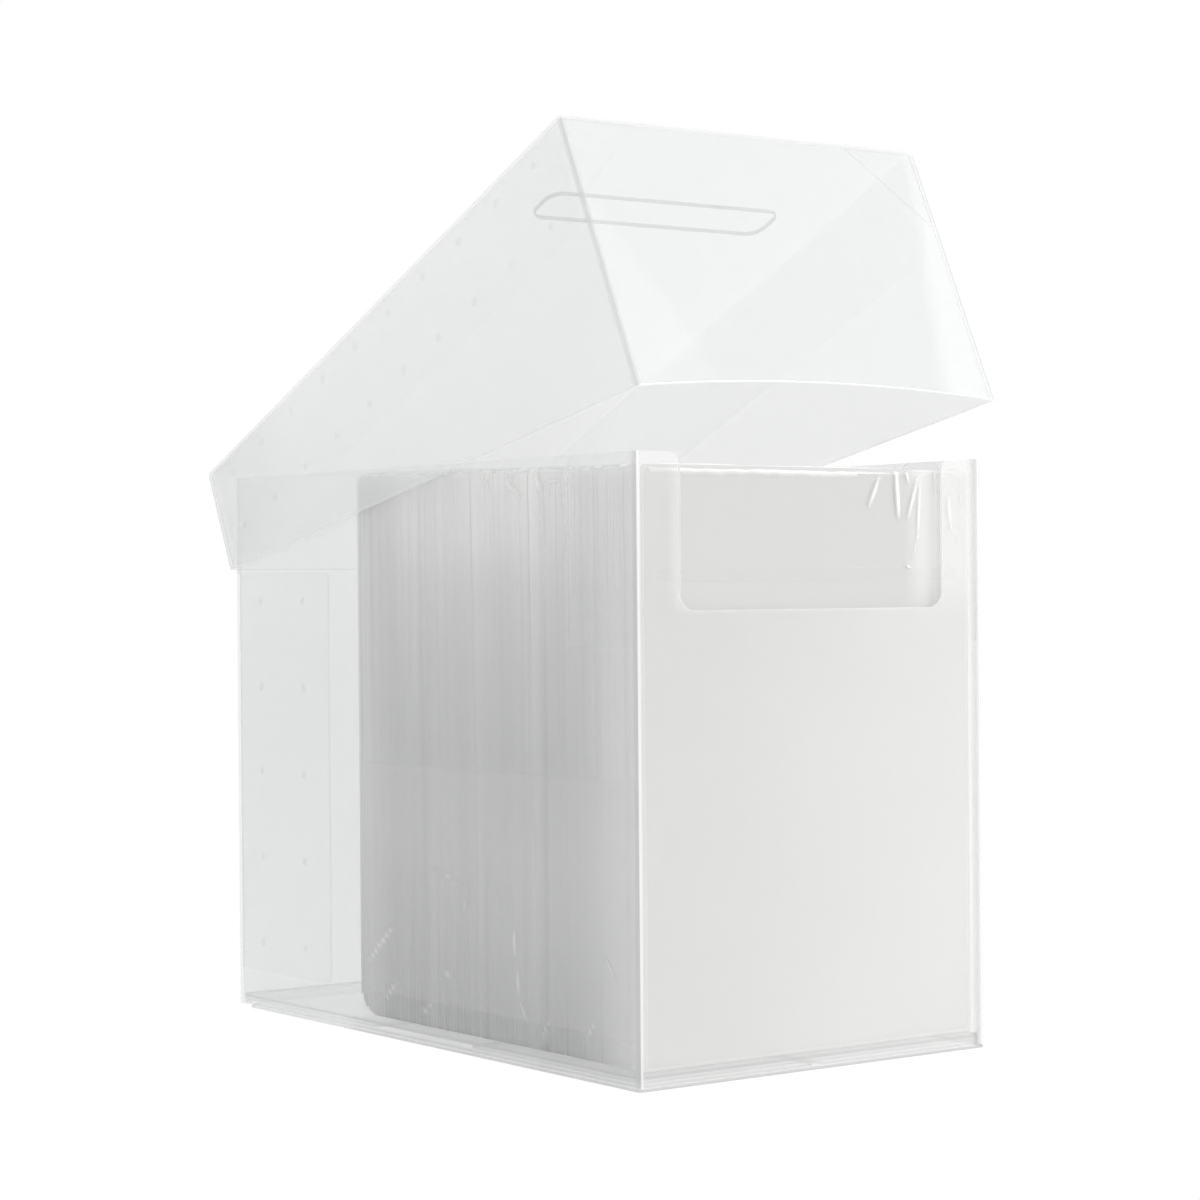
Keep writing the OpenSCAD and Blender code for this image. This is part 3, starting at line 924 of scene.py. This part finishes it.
# folds in the film: two ends on the face, half width and height, all in mm
frontFolds = [
    (14.0, 92.4, 12.0, 88.2, 0.55, 0.34), (17.8, 93.6, 18.3, 86.6, 0.70, 0.40),
    (20.0, 93.6, 20.4, 92.0, 0.45, 0.26), (22.3, 92.4, 20.3, 86.4, 0.50, 0.34),
    (22.9, 91.8, 22.3, 83.2, 0.42, 0.34), (22.3, 83.2, 21.3, 80.0, 0.40, 0.16),
    (29.0, 89.9, 29.5, 85.0, 0.60, 0.34), (29.5, 85.0, 30.7, 83.0, 0.42, 0.18),
    (26.0, 93.8, 26.4, 90.5, 0.45, 0.14), (31.6, 93.0, 31.9, 88.0, 0.50, 0.18),
    (20.0, 78.6, 20.6, 78.5, 0.35, 0.44)
]
sideFolds = [
    (-32.4, 93.9, -33.8, 91.0, 0.8, 0.45), (-33.8, 91.0, -34.4, 83.0, 1.2, 0.20),
    (-35.2, 92.4, -39.0, 92.2, 0.4, 0.36), (-24.0, 93.4, -28.2, 89.8, 0.7, 0.34),
    (-26.5, 93.8, -24.4, 91.4, 0.6, 0.26), (-18.0, 93.0, -19.6, 91.6, 0.5, 0.25),
    (-40.0, 92.0, -39.9, 80.0, 0.45, 0.20), (-25.0, 25.2, -27.0, 9.8, 0.45, 0.30),
    (-27.0, 9.8, -29.4, 6.5, 0.6, 0.22), (18.2, 12.0, 10.6, 18.4, 0.8, 0.34),
    (14.0, 5.0, 9.0, 9.5, 0.6, 0.24), (-3.8, 12.9, -8.5, 11.6, 0.4, 0.26),
    (-1.0, 29.6, -12.6, 27.2, 0.5, 0.16), (-12.6, 27.2, -10.2, 21.0, 0.6, 0.18),
    (-17.5, 28.6, -24.4, 25.6, 0.5, 0.16), (-50.2, 19.0, -52.8, 16.2, 0.4, 0.22),
    (-45.0, 5.6, -47.5, 9.0, 0.6, 0.24), (-33.0, 4.6, -35.4, 7.6, 0.6, 0.22),
    (2.0, 4.8, -2.6, 7.2, 0.6, 0.20)
]
# unevenness of the film: how fast it changes along its two ways, and where each face starts
filmWaves = {
    "sideWave": (0.16, 0.015, 1.0), "sideGather": (0.28, 0.05, 3.1), "crumple": (0.20, 0.20, 5.3),
    "sideGlint": (0.14, 0.02, 7.7), "frontWave": (0.12, 0.05, 9.0), "frontGather": (0.5, 0.08, 4.0),
    "pleat": (0.10, 0.35, 2.0)
}
filmLook = {
    "topReach": 16, "footReach": 15, "turnedBack": -38.9, "edgeReach": 1.1, "sideFoldGlint": 2.4,
    "frontFoldGlint": 2.7, "frontFoldHeight": 0.6, "edgeGlint": 0.75, "edgeEnd": 22,
    "edgeFade": 10, "edgeLeast": 0.15
}


def ridge(a, b, fold):
    # height of one fold at a place on the face: full along its line, fading to its ends
    a0, b0, a1, b1, halfWidth, height = fold
    lengthSquared = (a1 - a0) ** 2 + (b1 - b0) ** 2
    along = ((a - a0) * (a1 - a0) + (b - b0) * (b1 - b0)) / lengthSquared
    inside = min(max(along, 0), 1)
    gap = math.hypot(a - a0 - inside * (a1 - a0), b - b0 - inside * (b1 - b0))
    if gap > 2.5 * halfWidth:
        return 0
    swell = 0.55 + 0.45 * math.sin(math.pi * inside)
    return height * math.exp(-2.2 * (gap / halfWidth) ** 2) * swell


def filmWave(kind, a, b, facing):
    scaleA, scaleB, start = filmWaves[kind]
    return noise.noise(Vector((a * scaleA, b * scaleB, start * facing)))


def roundPair(a, b, lowA, highA, lowB, highB, radius):
    # brings a place near the corner of an outline onto the corner's arc
    nearA = min(max(a, lowA + radius), highA - radius)
    nearB = min(max(b, lowB + radius), highB - radius)
    da, db = a - nearA, b - nearB
    if da == 0 or db == 0:
        return a, b
    shrink = max(abs(da), abs(db)) / math.hypot(da, db)
    return nearA + da * shrink, nearB + db * shrink


def gatheredInFront(place, normal):
    return normal.y < -0.9 and place.x > filmSize["gatherX"] and place.z > filmSize["gatherZ"]


def gatheredAtSide(place, normal):
    first, last = filmSize["sideGatherY"]
    return normal.x < -0.9 and first < place.y < last and place.z > filmSize["sideGatherZ"]


filmLow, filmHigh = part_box("film_wrap")
filmMiddle = (filmLow + filmHigh) / 2
film = addBlock("film_skin", filmLow, filmHigh)
# closer mesh where the film is gathered
for test, cuts in (
    (lambda place, normal: True, filmSize["cuts"]),
    (gatheredInFront, filmSize["frontCuts"]), (gatheredAtSide, filmSize["sideCuts"])
):
    pickInEditMode(film, "FACE", test)
    bpy.ops.mesh.subdivide(number_cuts=cuts)
    leaveEditMode()
for v in film.data.vertices:
    x, y, z = v.co
    low = z < filmMiddle.z
    atBack = y > filmMiddle.y
    radius = filmSize[("back" if atBack else "front") + ("Foot" if low else "Top")]
    y, z = roundPair(y, z, filmLow.y, filmHigh.y, filmLow.z, filmHigh.z, radius)
    x, z = roundPair(x, z, filmLow.x, filmHigh.x, filmLow.z, filmHigh.z, filmSize["sides"])
    x, y = roundPair(x, y, filmLow.x, filmHigh.x, filmLow.y, filmHigh.y, filmSize["sides"])
    if not low:
        z += backLift(y) * (z - filmMiddle.z) / (filmHigh.z - filmMiddle.z)
    v.co = (x, y, z)
film.data.update()


def filmLift(place, normal):
    # how far the film stands off or sinks, and how much painted highlight its crease value gives it
    # there
    x, y, z = (c / mm for c in place)
    upTop = max(0, 1 - (filmHigh.z / mm - z) / filmLook["topReach"])
    upFoot = max(0, 1 - (z - filmLow.z / mm) / filmLook["footReach"])
    lift = 0
    crease = 0
    if abs(normal.x) > 0.7:
        mirrored = y if normal.x < 0 else filmLook["turnedBack"] - y
        for fold in sideFolds:
            lift += ridge(mirrored, z, fold)
        crease += lift * filmLook["sideFoldGlint"]
        wave = filmWave("sideWave", y, z, normal.x)
        gather = filmWave("sideGather", y, z, normal.x) * upTop
        crumple = abs(filmWave("crumple", y, z, normal.x) * upFoot)
        broad = filmWave("sideGlint", y, z, normal.x)
        lift += 0.10 * wave + 0.12 * gather + 0.30 * (0.5 - crumple * 2) * upFoot
        # painted highlights: pale patches near the top and along the crumples at the foot
        crease += 0.30 * max(0, 0.35 + broad) * upTop ** 2
        crease += max(0, 0.16 - crumple * 2.4) * upFoot
    elif abs(normal.y) > 0.7:
        mirrored = x if normal.y < 0 else -x
        for fold in frontFolds:
            lift += ridge(mirrored, z, fold)
        crease += lift * filmLook["frontFoldGlint"]
        lift *= filmLook["frontFoldHeight"]
        lift += 0.10 * filmWave("frontWave", x, z, normal.y)
        lift += 0.12 * filmWave("frontGather", x, z, normal.y) * upTop
    else:
        pleat = filmWave("pleat", x, y, normal.z)
        lift += 0.22 * pleat
        crease += max(0, 0.22 - abs(pleat) * 2.2)
    # painted highlight along the film's top front edge, fading towards the right, and in patches
    # along its top side edges
    onTopEdge = z > (filmHigh.z + backLift(place.y)) / mm - 1.0
    if onTopEdge and y < filmLow.y / mm + filmLook["edgeReach"]:
        fade = (filmLook["edgeEnd"] - x) / filmLook["edgeFade"]
        crease += filmLook["edgeGlint"] * min(max(fade, filmLook["edgeLeast"]), 1)
    elif onTopEdge and abs(x) > filmHigh.x / mm - filmLook["edgeReach"]:
        crease += max(0, 0.25 + 1.2 * noise.noise(Vector((y * 0.3, 0, x))))
    return lift * mm, min(crease, 1)


lifts = [filmLift(v.co.copy(), v.normal.copy()) for v in film.data.vertices]
normals = [v.normal.copy() for v in film.data.vertices]
glintValues = film.data.attributes.new("crease", "FLOAT", "POINT")
for i, v in enumerate(film.data.vertices):
    v.co += normals[i] * min(lifts[i][0], filmSize["most"])
    glintValues.data[i].value = lifts[i][1]
smoothBy(film, filmSize["sharpAngle"], False)
setMaterials(film, wrapFilm)
handOver(film, "sleeve_pack", "wrap_film", "film_wrap")
for side in ("left", "right"):
    lap = flatPlate("film_lap_fold_" + side, *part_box("film_lap_" + side))
    setMaterials(lap, filmFold)
    handOver(lap, "sleeve_pack", "wrap_film", "film_lap_" + side)
seam = addBlock("film_seam_weld", *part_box("film_seam"))
setMaterials(seam, lidFlap)
handOver(seam, "sleeve_pack", "wrap_film", "film_seam")
print("film wrapped")


stageLook = {"floorSize": 6.0, "glow": 1.0, "drop": 0.2 * mm, "rough": 0.9}
clearSelection()
bpy.ops.mesh.primitive_plane_add(size=stageLook["floorSize"], location=(0, 0, -stageLook["drop"]))
table = bpy.context.object
table.name = "pale_table"
tableMaterial = bpy.data.materials.new("paleTable")
tableMaterial.use_nodes = True
tableShader = tableMaterial.node_tree.nodes["Principled BSDF"]
tableShader.inputs["Base Color"].default_value = (0, 0, 0, 1)
tableShader.inputs["Specular IOR Level"].default_value = 0
tableShader.inputs["Roughness"].default_value = stageLook["rough"]
tableShader.inputs["Emission Color"].default_value = (1, 1, 1, 1)
tableShader.inputs["Emission Strength"].default_value = stageLook["glow"]
table.data.materials.append(tableMaterial)

skyLook = {"toward": (0.80, -0.50, 0.33), "tones": (0.80, 1.02), "seen": 1.0}
world = bpy.data.worlds.new("lightTent")
bpy.context.scene.world = world
world.use_nodes = True
world.node_tree.nodes.clear()
addWorld, worldLinks = nodeAdder(world)
direction = addWorld("ShaderNodeTexCoord").outputs["Generated"]
facing = addWorld(
    "ShaderNodeVectorMath", {0: direction, 1: skyLook["toward"]}, operation="DOT_PRODUCT"
)
glow = mapRange(addWorld, facing.outputs["Value"], (-1, 1), skyLook["tones"])
lightPath = addWorld("ShaderNodeLightPath")
strength = addWorld(
    "ShaderNodeMix",
    {"Factor": lightPath.outputs["Is Camera Ray"], "A": glow, "B": skyLook["seen"]},
    data_type="FLOAT"
)
sky = addWorld(
    "ShaderNodeBackground", {"Color": (1, 1, 1, 1), "Strength": strength.outputs["Result"]}
)
worldOut = addWorld("ShaderNodeOutputWorld")
worldLinks.new(sky.outputs["Background"], worldOut.inputs["Surface"])


def areaLight(name, place, target, size, power):
    data = bpy.data.lights.new(name, "AREA")
    data.shape = "RECTANGLE"
    data.size, data.size_y = size
    data.energy = power
    lamp = bpy.data.objects.new(name, data)
    bpy.context.scene.collection.objects.link(lamp)
    lamp.location = place
    lamp.rotation_euler = (Vector(target) - Vector(place)).to_track_quat("-Z", "Y").to_euler()
    lamp.visible_camera = False


areaLight("softRight", (0.75, -0.55, 0.45), (0, -0.02, 0.06), (0.5, 0.5), 4.0)
areaLight("glintStrip", (-0.15, -0.85, 0.75), (0, -0.06, 0.09), (0.5, 0.04), 1.2)

view = {
    "place": (-0.3006, -0.4148, 0.0756), "yaw": 36.16, "pitch": -0.2435, "roll": -0.473,
    "lens": 88.97, "sensor": 36
}
cameraData = bpy.data.cameras.new("productCamera")
cameraData.lens = view["lens"]
cameraData.sensor_width = view["sensor"]
camera = bpy.data.objects.new("productCamera", cameraData)
bpy.context.scene.collection.objects.link(camera)
yaw, pitch, roll = (math.radians(view[k]) for k in ("yaw", "pitch", "roll"))
forward = Vector(
    (math.sin(yaw) * math.cos(pitch), math.cos(yaw) * math.cos(pitch), math.sin(pitch))
)
sideways = Vector((math.cos(yaw), -math.sin(yaw), 0))
upward = sideways.cross(forward)
tilted = sideways * math.cos(roll) + upward * math.sin(roll)
raised = -sideways * math.sin(roll) + upward * math.cos(roll)
turned = Matrix((tilted, raised, -forward)).transposed().to_4x4()
camera.matrix_world = Matrix.Translation(view["place"]) @ turned
bpy.context.scene.camera = camera
bpy.context.scene.view_settings.view_transform = "Standard"
bpy.context.scene.cycles.transparent_max_bounces = 48
print("stage lit")
